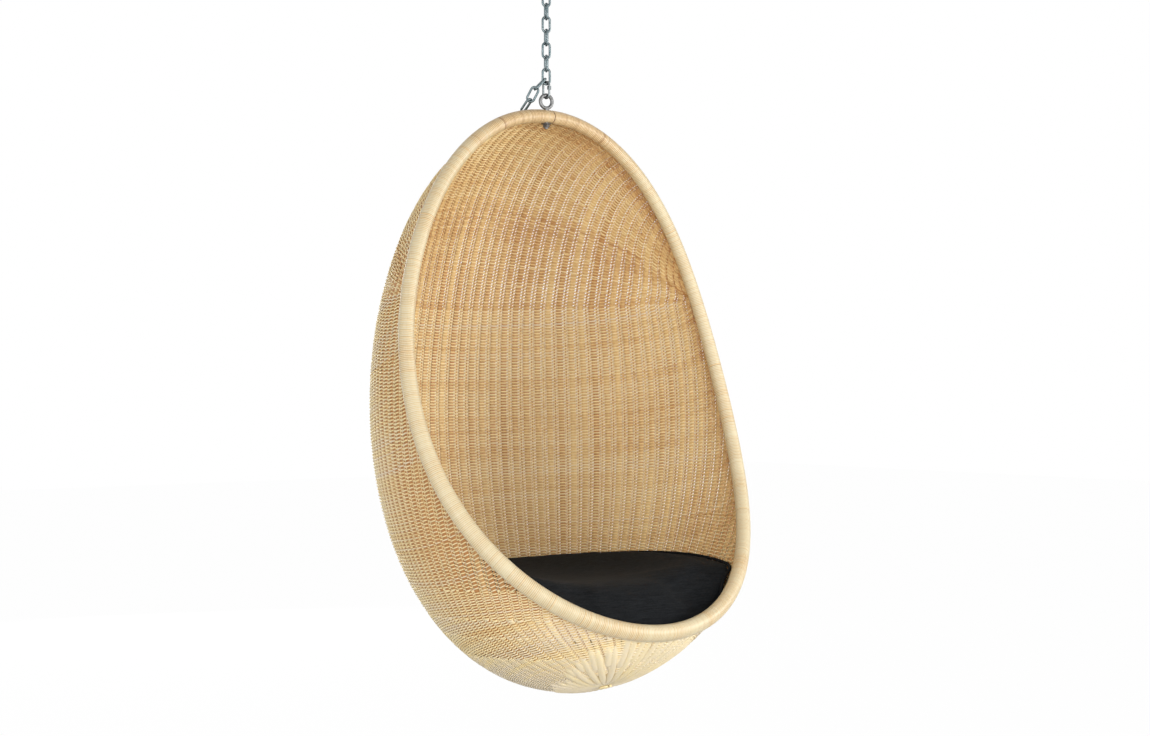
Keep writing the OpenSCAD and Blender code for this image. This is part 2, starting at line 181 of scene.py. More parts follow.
class Tubes:
    """Collects tubes along points and writes them as a few meshes."""

    def __init__(self, name, sides):
        self.name, self.sides = name, sides
        self.parts, self.count, self.made = [], 0, []

    def add(self, points, out, width, thick, tone, kind, closed=False, profile=None, faces=None):
        """out is the way off the egg; faces is added to the tone of each ring's outer side."""
        n = len(points)
        if closed:
            way = np.roll(points, -1, 0) - np.roll(points, 1, 0)
        else:
            way = np.gradient(points, axis=0)
        way = unit(way)
        side = unit(np.cross(way, out))
        up = np.cross(side, way)
        if profile is None:
            a = np.arange(self.sides) * 2 * math.pi / self.sides + math.pi / 2
            profile = np.stack([np.cos(a), np.sin(a)], 1)
        w = np.broadcast_to(np.asarray(width, float), (n,))[:, None, None]
        h = np.broadcast_to(np.asarray(thick, float), (n,))[:, None, None]
        ring = (points[:, None] + side[:, None] * profile[None, :, :1] * w
                + up[:, None] * profile[None, :, 1:] * h)
        tones = np.broadcast_to(np.asarray(tone, float), (n,))
        tones = np.repeat(tones, self.sides)
        if faces is not None:
            tones = tones + np.repeat(faces, self.sides) * np.tile((profile[:, 1] > 0.3) * 1.0, n)
        if self.count + n * self.sides * 2 > MESH_POINTS:
            self.flush()
        self.parts.append((ring, tones, kind, closed))
        self.count += n * self.sides * 2

    def flush(self):
        if not self.parts:
            return
        m, k = len(self.parts), self.sides
        points, faces, tone, kinds, uv, start = [], [], [], [], [], 0
        for row, (ring, tones, kind, closed) in enumerate(self.parts):
            n = len(ring)
            points.append(place(ring.reshape(-1, 3)))
            i = np.arange(n if closed else n - 1)[:, None]
            j = np.arange(k)[None]
            a, b = i * k + j, i * k + (j + 1) % k
            c, d = ((i + 1) % n) * k + (j + 1) % k, ((i + 1) % n) * k + j
            faces.append(start + np.stack([a, b, c, d], -1).reshape(-1, 4))
            tone.append(tones)
            kinds.append(np.repeat(np.broadcast_to(np.asarray(kind, float), (n,)), k))
            u = np.repeat(np.linspace(0.002, 0.998, n), k)
            v = np.tile((np.abs((np.arange(k) * 2 / k) - 1) * 0.8 + 0.1 + row) / m, n)
            uv.append(np.stack([u, v], 1))
            start += n * k
        thing = make_mesh("%s_%d" % (self.name, len(self.made) + 1), np.concatenate(points),
                          np.concatenate(faces), np.concatenate(tone), np.concatenate(uv),
                          np.concatenate(kinds))
        self.made.append(thing)
        self.parts, self.count = [], 0


# ---------------------------------------------------------------- the stakes
# 100 thick and 100 thin ones, by turns, from the base to the rim
HALF_STAKES = 100
WALL_TOP, WALL_LOW, BASE_TOP = 223.0, -385, -445
BASE_TILT, BASE_DROP = 0.306, 190.6
WALL_PITCH, HOOD_PITCH, HOOD_TURN = 12.58, 11.2, 85.6
PIVOT = np.array([0, 3.7, WALL_TOP])
POLE = 110.0
CREASES = [0, 9, 17, 26, 34, 43, 52, 61, 69, 77, 90]
ROW = 3.3
STAKE_STEP = 9
# thin stakes inside a blade of the base end where the pitch falls below these
ENDS_IN, ENDS_OUT = 7.9, 3.2


def half_ring(origin, first, second, n=241):
    """Half of a closed section through the egg, from the middle of the back to the middle of the front."""
    a = np.linspace(0, math.pi, n)
    ways = np.sin(a)[:, None] * np.array(first) + np.cos(a)[:, None] * np.array(second)
    return shoot(np.array(origin, float), ways)


def master_rings():
    """Half rings from the base to the top, each with its turn about the hood's pivot in degrees."""
    rings = []
    for u in np.linspace(1, 0, 30)[:-1] ** 1.4:
        u = min(u, 0.9985)
        tilt = BASE_TILT * u
        c = BASE_TOP - BASE_DROP * u
        v0 = POLE * u ** 1.5
        w = math.hypot(1, tilt)
        rings.append((half_ring((0, v0, c + tilt * v0), (1, 0, 0), (0, -1 / w, -tilt / w)), 0))
    for z in np.linspace(BASE_TOP, WALL_TOP, 60):
        s = z / HALF
        rings.append((half_ring((0, shift(s), z), (1, 0, 0), (0, -1, 0)), 0))
    for t in np.radians(np.linspace(1.5, 91.5, 61)):
        rings.append((half_ring(PIVOT, (1, 0, 0), (0, -math.cos(t), math.sin(t))), math.degrees(t)))
    return rings


def stake_table():
    """Points [ring, stake] on the egg, for stakes counted both ways from the middle of the back."""
    table, pitches = [], []
    k = np.arange(-HALF_STAKES, HALF_STAKES)
    group = k // 4
    goal = group * 4 + 1 + np.array([-0.86, 0, 0.86, 2.0])[k - group * 4]
    for ring, turn in master_rings():
        along = lengths(ring)
        pitch = along[-1] / HALF_STAKES
        if turn > 0:
            pitch = WALL_PITCH + (HOOD_PITCH - WALL_PITCH) * min(turn / HOOD_TURN, 1)
        # the thick stakes of two pairs run together on the way to the base
        near = ease((8.4 - pitch) / 2.2) if turn == 0 else 0
        spot = k + (goal - k) * near
        p = points_at(np.minimum(np.abs(spot) * pitch, along[-1]), along, ring)
        p[:, 0] *= np.sign(spot)
        table.append(p)
        pitches.append(pitch)
    return np.array(table), np.array(pitches), k


TABLE, PITCH, K = stake_table()
THICK = K % 2 == 0
RINGS = len(TABLE)
TURN = np.degrees(np.arctan2(TABLE[..., 2] - PIVOT[2], PIVOT[1] - TABLE[..., 1]))


def past_rim(p):
    """How far forward of the opening's plane, mm."""
    return p[..., 1] - mouth(p[..., 2] / HALF)


def paleness(p):
    """1 low at the front and at the very base, where the cane is palest and the stakes' painted shade is lifted, and
    0 elsewhere.
    """
    front = np.clip((p[..., 1] - 110) / 110, 0, 1) * np.clip((-415 - p[..., 2]) / 55, 0, 1)
    return np.maximum(front, np.clip((-530 - p[..., 2]) / 50, 0, 1))


def pole_distance(p):
    return np.hypot(p[..., 0], p[..., 1] - POLE)


def stake_size(thick):
    """Half width and half thickness of a stake on each ring."""
    if thick:
        blade = np.clip((7.6 - PITCH) / 1.6, 0, 1)
        width = np.minimum(7.0, PITCH * 0.86)
        return width, np.minimum(2.1 + 1.0 * blade, width * 0.7)
    width = np.minimum(1.9, PITCH * 0.3)
    return width, np.minimum(1.5, width)


wefts = Tubes("weft", 5)
stakes = Tubes("stake", 10)
ARCH = np.array([[math.cos(a), math.sin(a)] for a in np.arange(10) * math.pi / 5 + math.pi / 10])


def build_stakes():
    for index, thick in enumerate(THICK):
        line = TABLE[:, index]
        size = np.stack(stake_size(thick), 1)
        keep = past_rim(line) < 0
        if thick:
            keep &= pole_distance(line) > 16
        else:
            keep &= PITCH > (ENDS_IN if K[index] % 4 == 1 else ENDS_OUT)
        good = np.nonzero(keep)[0]
        if len(good) < 3:
            continue
        first = good[0]
        last = first + int(np.argmin(np.append(keep[first:], False))) - 1
        if last - first < 3:
            continue
        p = line[first:last + 1]
        z = size[first:last + 1]
        if last + 1 < RINGS and past_rim(line[last + 1]) >= 0:
            a, b = -past_rim(line[last]), past_rim(line[last + 1])
            p = np.vstack([p, line[last] + (line[last + 1] - line[last]) * a / (a + b)])
            z = np.vstack([z, size[last]])
        d = lengths(p)
        t = np.linspace(0, d[-1], max(6, int(d[-1] / STAKE_STEP)))
        q = points_at(t, d, p)
        w, h = np.interp(t, d, z[:, 0]), np.interp(t, d, z[:, 1])
        out = normal(q)
        q = q - depth(q)[:, None] * out
        # painted shade: the stakes' dark tone, darkest on the thin ones, and their darker outer face stand for the
        # shade in the gaps between the wefts, lifted where paleness is high
        pale = paleness(q) * (1.0 if thick else 0.3)
        tone = ((0.13 if thick else 0.02) + 0.45 * pale + rng.normal(0, 0.06)
                + 0.04 * np.sin(t / rng.uniform(60, 160) + rng.uniform(0, 6)))
        wave = 0.25 * np.sin(t / 37 + rng.uniform(0, 6))
        stakes.add(q + out * wave[:, None], out, w, h, tone, 1.0, profile=ARCH, faces=-0.15 * (1 - pale))


# ---------------------------------------------------------------- the wefts
TIGHT, LOOSE = 1.65, 1.36
BANDS = 0.52 + np.interp(np.arange(600), np.arange(0, 606, 6), rng.normal(0, 0.075, 101))


def cross(values, allowed):
    """Where each stake crosses zero of values [ring, stake]; the first crossing on allowed points."""
    change = (values[:-1] <= 0) & (values[1:] > 0) & (allowed[:-1] | allowed[1:])
    found = change.any(0)
    i = change.argmax(0)
    cols = np.arange(values.shape[1])
    a, b = values[i, cols], values[i + 1, cols]
    f = np.where(found, a / np.where(a == b, 1, a - b), 0)
    p = TABLE[i, cols] + (TABLE[i + 1, cols] - TABLE[i, cols]) * f[:, None]
    pitch = PITCH[i] + (PITCH[i + 1] - PITCH[i]) * f
    return p, found, pitch


def looseness(p):
    """1 where the weave lets light through, at the sides and in the hood, and 0 where it is tight."""
    side = np.clip((np.abs(p[:, 0]) - 130) / 150, 0, 1) * np.clip((p[:, 1] + 140) / 160, 0, 1)
    low = np.clip((-60 - p[:, 2]) / 140, 0, 1) * np.clip((p[:, 2] + 450) / 70, 0, 1)
    hood = np.clip((p[:, 2] - 190) / 60, 0, 1)
    return np.maximum(side * low, hood)


def weave_run(points, thick, pitch, parity, tone, ends=None):
    """One row over and under the stakes that it crosses, closed where it has no ends."""
    n = len(points)
    closed = ends is None
    if closed:
        ahead, behind = np.roll(points, -1, 0), np.roll(points, 1, 0)
    else:
        ahead = np.vstack([points[1:], 2 * points[-1:] - points[-2:-1]])
        behind = np.vstack([2 * points[:1] - points[1:2], points[:-1]])
    way = unit(ahead - behind)
    out = normal(points)
    gap = np.minimum(np.linalg.norm(ahead - points, axis=1), np.linalg.norm(behind - points, axis=1))
    loose = looseness(points)
    radius = TIGHT + (LOOSE - TIGHT) * loose
    high = np.where(thick, np.minimum(2.45, 0.4 * pitch) + radius * 0.95, 2.05) * rng.normal(1, 0.04, n)
    lift = np.where(thick, 1, -1) * parity * high
    reach = np.where(thick, np.minimum(4.7, gap * 0.36), 0)
    up = unit(np.cross(out, way))
    # each row has two points on a thick stake, one on a thin stake and one where it changes sides
    turns = thick != np.roll(thick, -1)
    if not closed:
        turns[-1] = False
    count = np.where(thick, 2, 1) + turns
    start = np.cumsum(count) - count
    m = int(count.sum())
    q, o, kind, size = np.zeros((m, 3)), np.zeros((m, 3)), np.zeros(m), np.zeros(m)
    flat = np.zeros((m, 3))
    for step in (0, 1):
        i = np.nonzero(thick)[0] if step else np.arange(n)
        side = reach[i] * (1 if step else -1)
        flat[start[i] + step] = points[i] + way[i] * side[:, None]
        q[start[i] + step] = flat[start[i] + step] + out[i] * lift[i][:, None]
        o[start[i] + step], size[start[i] + step] = out[i], radius[i] * np.where(thick[i], 1, 1.1)
        kind[start[i] + step] = np.sign(lift[i])
    i = np.nonzero(turns)[0]
    j = (i + 1) % n
    at = start[i] + count[i] - 1
    twist = (0.28 + 0.55 * loose[i]) * parity * np.where(thick[i], 1, -1) * np.minimum(1, pitch[i] / 9)
    q[at] = ((flat[at - 1] + flat[start[j]]) / 2 + out[i] * ((lift[i] + lift[j]) / 2)[:, None]
             + up[i] * twist[:, None])
    o[at], size[at] = out[i], radius[i]
    if not closed:
        for which, end in enumerate(ends):
            e = end - depth(end[None])[0] * normal(end[None])[0]
            if which == 0:
                q, o = np.vstack([e, q]), np.vstack([normal(end[None]), o])
                kind, size = np.append(0, kind), np.append(size[0], size)
            else:
                q, o = np.vstack([q, e]), np.vstack([o, normal(end[None])])
                kind, size = np.append(kind, 0), np.append(size, size[-1])
    m = len(q)
    shade = tone + 0.05 * np.sin(np.arange(m) / rng.uniform(9, 40) + rng.uniform(0, 6))
    # darker inside beside the rim, painted shade where the wall turns away behind it; paler outside, painted light;
    # and paler over the base
    dark = 0.5 * np.exp(-(past_rim(q) / 42) ** 2) * np.clip((q[:, 2] + 400) / 60, 0, 1)
    shade = shade + 0.26 * paleness(q) - dark
    wefts.add(q, o, size, size, shade, kind, closed=closed, faces=dark + 0.14)


def rim_end(last, before):
    """Runs on from the last crossing to the rim's own line, or 4 mm where there is no rim."""
    way = unit(last - before)
    for step in np.arange(0.5, 26, 0.5):
        p = last + way * step
        if past_rim(p) > 0:
            return p
    return last + way * 4


def row_tone(row, more=0, spread=0.09, most=1):
    return float(np.clip(BANDS[row % len(BANDS)] + more + rng.normal(0, spread), 0.05, most))


def weave_row(values, allowed, limit, row, tone=None):
    """All runs of one row, along the zero line of values and within the limit."""
    p, found, pitch = cross(values, allowed)
    # thin stakes that have ended inside a blade aren't crossed
    usable = THICK | (pitch > np.where(K % 4 == 1, ENDS_IN, ENDS_OUT))
    found = found & (past_rim(p) < 0) & limit(p) & usable
    if not found.any():
        return
    parity = 1 if row % 2 else -1
    if tone is None:
        tone = row_tone(row, most=0.95)
    order = np.nonzero(usable)[0]
    mask = found[order]
    if mask.all():
        weave_run(p[order], THICK[order], pitch[order], parity, tone)
        return
    # runs of neighbours, round the back
    m = len(order)
    start = int(np.nonzero(~mask)[0][0])
    roll = np.roll(np.arange(m), -start)
    run, runs = [], []
    for i in roll:
        if mask[i]:
            run.append(order[i])
        elif run:
            runs.append(run)
            run = []
    if run:
        runs.append(run)
    for run in runs:
        if len(run) < 3:
            continue
        run = np.array(run)
        q = p[run]
        weave_run(q, THICK[run], pitch[run], parity, tone, (rim_end(q[0], q[1]), rim_end(q[-1], q[-2])))


def build_wefts():
    row = 0
    rise_at = 60 * np.exp(-np.maximum(-past_rim(TABLE), 0) / 130)
    z = TABLE[..., 2]
    everywhere = np.ones(z.shape, bool)
    # level rows on the wall, turned up a little where they meet the rim
    lift = z - rise_at
    heights, h = [], WALL_TOP
    while h > WALL_LOW - 62:
        s = h / HALF
        e = 2.0 / HALF
        wide_up, wide_down = (WIDE * math.sqrt(max(1e-6, 1 - at ** 2)) for at in (s + e, s - e))
        lean = (wide_up - wide_down) / 4
        heights.append(h)
        h -= ROW / math.hypot(1, lean * 0.8)
    for h in heights:
        weave_row(lift - h, everywhere, lambda p: (p[:, 2] < WALL_TOP + 1) & (p[:, 2] > WALL_LOW), row)
        row += 1
    # hood: wedges that turn about a line across the egg
    for a, b in zip(CREASES[:-1], CREASES[1:]):
        ta, tb = math.radians(a), math.radians(b)
        t = np.linspace(ta, tb, 200)
        ways = np.stack([0 * t, -np.cos(t), np.sin(t)], 1)
        line = shoot(PIVOT, ways)
        d = lengths(line)
        off = (line[:, 1] - PIVOT[1]) * math.sin(ta) + (line[:, 2] - PIVOT[2]) * math.cos(ta)
        values = (TABLE[..., 1] - PIVOT[1]) * math.sin(ta) + (z - PIVOT[2]) * math.cos(ta)
        for step in np.arange(ROW * 0.5, d[-1] - ROW * 0.3, ROW * 1.07):
            c = np.interp(step, d, off)
            edge = rng.uniform(-0.12, 0.12)

            def inside(p):
                turn = np.degrees(np.arctan2(p[:, 2] - PIVOT[2], PIVOT[1] - p[:, 1]))
                return (turn < b + edge) & (turn > a - 1.0) & (p[:, 2] > WALL_TOP - 1)

            allowed = (TURN > a - 3) & (TURN < b + 3) & (z > 190)
            # painted shade: the hood's rows take a darker tone, as the light falls off towards the top
            weave_row(values - c, allowed, inside, row, row_tone(row, -0.18))
            row += 1
    # base: rows that tip forward, zone by zone, and stop where the blades close
    zones = [(WALL_LOW, BASE_TOP, 0.10), (BASE_TOP, -484, 0.17), (-484, -530, 0.24), (-530, -640, BASE_TILT)]
    line = TABLE[:, int(np.nonzero(K == -66)[0][0])]
    for high, bottom, tilt in zones:
        g = z - tilt * TABLE[..., 1]
        sel = (line[:, 2] > bottom - 15) & (line[:, 2] < high + 15)
        gl = line[sel, 2] - tilt * line[sel, 1]
        rate = (gl.max() - gl.min()) / max(lengths(line[sel])[-1], 1)
        zone = (z <= high) & (z > bottom)
        for c in np.arange(g[zone].max(), g[zone].min(), -ROW * rate):
            weave_row(g - c, (z < high + 14) & (z > bottom - 14),
                      lambda p: (p[:, 2] <= high + 1.6) & (p[:, 2] > bottom - 1.6)
                      & (pole_distance(p) > 92 + 6 * np.sin(np.arctan2(p[:, 0], p[:, 1] - POLE) * FINGERS)),
                      row, row_tone(row, spread=0.07))
            row += 1


FINGERS = 32
FINGER_POINTS = 26


def low_side(x, v):
    """Points on the egg's underside."""
    _, hi = narrow(np.full(len(x), -640.0), np.full(len(x), -300.0),
                   lambda m: level(np.stack([x, v, m], -1)) >= 0, 30)
    return np.stack([x, v, hi], -1)


def round_pole(rho, turn):
    """Points on the underside, at a distance from the pole and a turn about it."""
    return low_side(rho * np.sin(turn), POLE + rho * np.cos(turn))


def build_fingers():
    """Broad smooth bundles over the base; at the front they reach up to the rim, with shorter ones between."""
    for j in range(2 * FINGERS):
        second = j % 2 == 1
        middle = math.pi * (j + 0.5) / FINGERS + rng.uniform(-0.008, 0.008)
        front = float(np.clip(1.5 * math.cos(middle) - 0.1, 0, 1))
        if second and front < 0.2:
            continue
        start = 138 + 74 * front + rng.uniform(-9, 9)
        end = 108 + rng.uniform(-9, 9) if second else 5
        begun = 0.0
        for start in np.arange(start, 110, -3):
            if past_rim(round_pole(np.array([start]), middle))[0] < -12:
                break
            begun = 0.9
        rho = np.linspace(start, end, FINGER_POINTS)
        turn = middle + 0.012 * np.sin(rho / 40 + rng.uniform(0, 6)) * np.clip(rho / 90, 0, 1)
        line = round_pole(rho, turn)
        out = normal(line)
        rise = ease((start - rho) / 40 + begun) * (ease((rho - end) / 30 + 0.1) if second else 1)
        wide = np.minimum(math.pi * rho / FINGERS * (0.55 if second else 1.04) + 0.9, 8.4) * (0.3 + 0.7 * rise)
        high = np.minimum(5.6, wide * 0.8)
        tone = 0.70 + rng.normal(0, 0.05) - 0.09 * np.exp(-((rho - rng.uniform(60, 115)) / 9) ** 2)
        fingers.add(line + out * (-5.5 + 6.0 * rise)[:, None], out, wide, high, tone, 1.0, profile=LOBES,
                    faces=np.full(FINGER_POINTS, 0.12))
    # the small coil that closes the pole
    around = np.linspace(0, 2 * math.pi * 3, 60)
    rho = np.linspace(13, 1.5, 60)
    line = round_pole(rho, around)
    out = normal(line)
    fingers.add(line + out * 4.2, out, 2.1, 2.1, 0.6, 1.0, profile=ARCH)


LOBES = np.array([[1, -0.3], [0.93, 0.25], [0.72, 0.66], [0.42, 0.9], [0.08, 1.0], [-0.25, 0.97], [-0.6, 0.8],
                  [-0.9, 0.35], [-1, -0.3], [0, -0.6]])
fingers = Tubes("base_finger", 10)
build_stakes()
build_wefts()
build_fingers()
for tubes in (stakes, wefts, fingers):
    tubes.flush()


# ---------------------------------------------------------------- materials
class Paint:
    """Shorthand for a node material."""

    def __init__(self, name, rough=0.5):
        self.material = bpy.data.materials.new(name)
        self.material.use_nodes = True
        self.tree = self.material.node_tree
        self.shader = self.tree.nodes["Principled BSDF"]
        self.shader.inputs["Roughness"].default_value = rough

    def node(self, kind, **values):
        made = self.tree.nodes.new("ShaderNode" + kind)
        for key, value in values.items():
            if key in ("operation", "blend_type", "data_type", "attribute_name"):
                setattr(made, key, value)
                continue
            self.put(made.inputs[key.replace("_", " ") if not key.startswith("in") else int(key[2:])], value)
        return made

    def put(self, socket, value):
        if isinstance(value, bpy.types.NodeSocket):
            self.tree.links.new(value, socket)
        else:
            socket.default_value = value

    def attribute(self, name):
        return self.node("Attribute", attribute_name=name).outputs["Fac"]

    def where(self):
        return self.node("TexCoord").outputs["Object"]

    def scaled(self, vector, scale):
        return self.node("Mapping", Vector=vector, Scale=scale).outputs[0]

    def noise(self, vector, scale, detail=2.0, rough=0.5):
        return self.node("TexNoise", Vector=vector, Scale=scale, Detail=detail, Roughness=rough).outputs["Fac"]

    def math(self, operation, a, b=0.0):
        return self.node("Math", operation=operation, in0=a, in1=b).outputs[0]

    def ramp(self, factor, *stops):
        made = self.tree.nodes.new("ShaderNodeValToRGB")
        self.put(made.inputs[0], factor)
        band = made.color_ramp
        while len(band.elements) < len(stops):
            band.elements.new(0.5)
        for element, (at, colour) in zip(band.elements, stops):
            element.position = at
            element.color = (*colour, 1)
        return made.outputs[0]

    def mix(self, factor, a, b):
        made = self.node("Mix", data_type="RGBA", blend_type="MIX")
        self.put(made.inputs[0], factor)
        for socket, value in ((made.inputs[6], a), (made.inputs[7], b)):
            self.put(socket, (*value, 1) if isinstance(value, tuple) else value)
        return made.outputs[2]

    def colour(self, value):
        self.put(self.shader.inputs["Base Color"], value)

    def rough(self, value):
        self.put(self.shader.inputs["Roughness"], value)

    def bump(self, height, strength, distance):
        made = self.tree.nodes.new("ShaderNodeBump")
        made.inputs["Strength"].default_value = strength
        made.inputs["Distance"].default_value = distance
        self.put(made.inputs["Height"], height)
        self.put(self.shader.inputs["Normal"], made.outputs[0])


def grey(v):
    return (v, v, v)


def cane_paint():
    p = Paint("woven_cane", 0.5)
    at = p.where()
    tone = p.attribute("tone")
    lift = p.math("ABSOLUTE", p.attribute("kind"))
    slow = p.noise(at, 5.0, 3.0)
    fine = p.noise(at, 130.0, 2.0)
    speck = p.noise(at, 480.0, 2.0, 0.7)
    value = p.math("ADD", p.math("MULTIPLY", tone, 0.62),
                   p.math("ADD", p.math("MULTIPLY", slow, 0.22), p.math("MULTIPLY", fine, 0.26)))
    base = p.ramp(value, (0.22, (0.42, 0.20, 0.065)), (0.42, (0.69, 0.48, 0.215)),
                  (0.60, (0.82, 0.675, 0.375)), (0.85, (0.75, 0.65, 0.49)))
    spots = p.ramp(speck, (0.62, grey(0.0)), (0.74, grey(1.0)))
    worn = p.mix(p.math("MULTIPLY", spots, 0.3), base, (0.42, 0.20, 0.07))
    # painted shade: the cane darkens where the weft's lift is small, at its crossings and its ends
    painted_crevice_shade = p.ramp(lift, (0.03, grey(0.6)), (0.3, grey(0.0)))
    p.colour(p.mix(painted_crevice_shade, worn, (0.40, 0.18, 0.06)))
    p.rough(p.math("ADD", p.math("MULTIPLY", fine, 0.25), 0.36))
    p.shader.inputs["Specular IOR Level"].default_value = 0.4
    p.bump(p.noise(at, 900.0, 2.0), 0.25, 0.0006)
    return p.material


cane = cane_paint()
shell_pieces = stakes.made + wefts.made + fingers.made
for thing in shell_pieces:
    thing.data.materials.append(cane)
    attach(thing, "chair")
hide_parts("woven_shell")


# ---------------------------------------------------------------- the rim's binding
# one strip of peel wound round the pole
RIM_LOW, RIM_HIGH = -0.780567, 0.998293
WRAP, SEAM = 3.7, 2.5
BINDING_SIDES, UV_STRIPS = 24, 24


def rim_curve():
    """The rim's middle line and the turn that each of its points comes from."""
    t = np.linspace(0, 2 * math.pi, 4001)[:-1]
    s = (RIM_LOW + RIM_HIGH) / 2 - (RIM_HIGH - RIM_LOW) / 2 * np.cos(t)
    r = WIDE * np.sqrt(np.maximum(0, 1 - s * s)) * full(s)
    v = mouth(s)
    x = np.sign(np.sin(t)) * np.sqrt(np.maximum(0, r ** 2 - ((v - shift(s)) / deep(s)) ** 2))
    return np.stack([x * (1 + 3.4 / np.maximum(50, r)), v, s * HALF], 1), t


def build_binding():
    line, t = rim_curve()
    closed = np.vstack([line, line[:1]])
    d = lengths(closed)
    total = d[-1]
    radius = np.append(15.75 + 1.25 * np.cos(t), 17.0)
    top = int(np.argmin(np.abs(closed[:, 2] - closed[:, 2].max())))
    beside = (closed[:, 0] > 0) & (closed[:, 0] < 15) & (closed[:, 2] > 0) & (np.arange(len(d)) < top + 3)
    seam = d[np.argmax(beside)]
    wraps = int(round((total - SEAM) / WRAP))
    edges = np.linspace(0, total - SEAM, wraps + 1)
    widths = np.diff(edges)
    stations, high, tone = [], [], []
    per = rng.normal(0.5, 0.06, wraps)
    dark = rng.random(wraps) < 0.04
    per[dark] -= rng.uniform(0.08, 0.22, dark.sum())
    knots = np.arange(0, wraps + 12, 12)
    slow = np.interp(np.arange(wraps), knots, rng.normal(0, 0.06, len(knots)))
    # painted shade: the wraps are darker high on the rim, where the light falls off towards the top
    painted_top_shade = np.clip((np.interp(np.mod(edges[:-1] + seam, total), d, closed[:, 2]) - 480) / 120, 0, 1)
    for i in range(wraps):
        # painted shade: each wrap is darker at its edge, in the groove between wraps
        for f, h in ((0.02, -0.7), (0.22, -0.05), (0.7, 0.0)):
            stations.append(edges[i] + widths[i] * f)
            high.append(h + (rng.normal(0, 0.03) if h == 0 else 0))
            tone.append(per[i] + slow[i] - (0.55 if f < 0.1 else 0) - 0.3 * painted_top_shade[i])
    stations = np.array(stations) + seam + SEAM / 2
    high, tone = np.array(high), np.array(tone)
    sides = BINDING_SIDES
    around = np.arange(sides) * 2 * math.pi / sides
    sway = np.interp(stations, np.linspace(stations[0], stations[-1], 60), rng.normal(0, 0.8, 60))
    where = np.mod(stations[:, None] + sway[:, None] * np.sin(around)[None] * 0.6, total)
    at = points_at(where, d, closed)
    way = unit(points_at(np.mod(where + 4, total), d, closed) - points_at(np.mod(where - 4, total), d, closed))
    b = unit(np.cross(way, np.array([0, 1.0, 0])))
    c = np.cross(b, way)
    spoke = np.cos(around)[None, :, None] * b + np.sin(around)[None, :, None] * c
    outer = normal(at)
    outer = unit(outer - (outer * way).sum(-1, keepdims=True) * way)
    backward = np.array([0, -1.0, 0])
    rear = backward - (way * backward).sum(-1, keepdims=True) * way
    lobe = unit(outer * 0.62 + unit(rear) * 0.78)
    swell = np.maximum((spoke * lobe).sum(-1), 0) ** 1.6
    r = np.interp(where, d, radius) - 0.9 + 4.2 * swell + high[:, None]
    p = at + r[..., None] * spoke
    # closed ends that turn down to the pole
    first = at[:1] + (p[:1] - at[:1]) * 0.86
    last = at[-1:] + (p[-1:] - at[-1:]) * 0.86
    p = np.concatenate([first, p, last])
    tone = np.concatenate([[0.1], tone, [0.1]])
    n = len(p)
    half = n // 2
    made = []
    for name, lo, hi in (("rim_binding_1", 0, half + 1), ("rim_binding_2", half, n)):
        q = p[lo:hi]
        m = len(q)
        i, j = np.arange(m - 1)[:, None], np.arange(sides)[None]
        a, bb = i * sides + j, i * sides + (j + 1) % sides
        faces = np.stack([a, a + sides, bb + sides, bb], -1).reshape(-1, 4)
        strip = m / UV_STRIPS
        u = np.repeat((np.arange(m) % strip) / strip, sides) * 0.98 + 0.01
        v = (np.repeat(np.floor(np.arange(m) / strip), sides)
             + np.tile(np.arange(sides) / sides, m) * 0.94) / UV_STRIPS
        made.append(make_mesh(name, place(q.reshape(-1, 3)), faces, np.repeat(tone[lo:hi], sides),
                              np.stack([u, v], 1)))
    return made


def peel_paint():
    p = Paint("binding_peel", 0.38)
    at = p.where()
    tone = p.attribute("tone")
    fine = p.noise(at, 240.0, 3.0, 0.6)
    slow = p.noise(at, 9.0, 3.0)
    value = p.math("ADD", p.math("MULTIPLY", tone, 0.7),
                   p.math("ADD", p.math("MULTIPLY", slow, 0.16), p.math("MULTIPLY", fine, 0.14)))
    base = p.ramp(value, (0.08, (0.30, 0.16, 0.06)), (0.3, (0.64, 0.47, 0.25)),
                  (0.5, (0.57, 0.50, 0.33)), (0.8, (0.63, 0.58, 0.41)))
    p.colour(base)
    p.rough(p.math("ADD", p.math("MULTIPLY", fine, 0.2), 0.3))
    p.shader.inputs["Coat Weight"].default_value = 0.15
    p.shader.inputs["Coat Roughness"].default_value = 0.3
    p.bump(fine, 0.2, 0.0004)
    return p.material


peel = peel_paint()
binding = build_binding()
for thing in binding:
    thing.data.materials.append(peel)
    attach(thing, "chair")
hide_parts("rim_binding")


# ---------------------------------------------------------------- metal
def steel_paint(name, base, spread, rough, dirt=0.3):
    p = Paint(name, rough)
    at = p.where()
    cells = p.node("TexVoronoi", Vector=at, Scale=420.0).outputs["Distance"]
    big = p.noise(at, 160.0, 4.0, 0.6)
    fine = p.noise(at, 1400.0, 2.0, 0.6)
    value = p.math("ADD", p.math("MULTIPLY", cells, 0.5), p.math("MULTIPLY", big, 0.6))
    low = tuple(max(0, c - spread) for c in base)
    high = tuple(min(1, c + spread) for c in base)
    coat = p.ramp(value, (0.3, low), (0.75, high))
    stain = p.ramp(big, (0.55, grey(0.0)), (0.75, grey(1.0)))
    p.colour(p.mix(p.math("MULTIPLY", stain, dirt), coat, (0.10, 0.09, 0.08)))
    p.shader.inputs["Metallic"].default_value = 1.0
    p.rough(p.math("ADD", p.math("MULTIPLY", big, 0.3), rough - 0.12))
    p.bump(fine, 0.25, 0.0003)
    return p.material


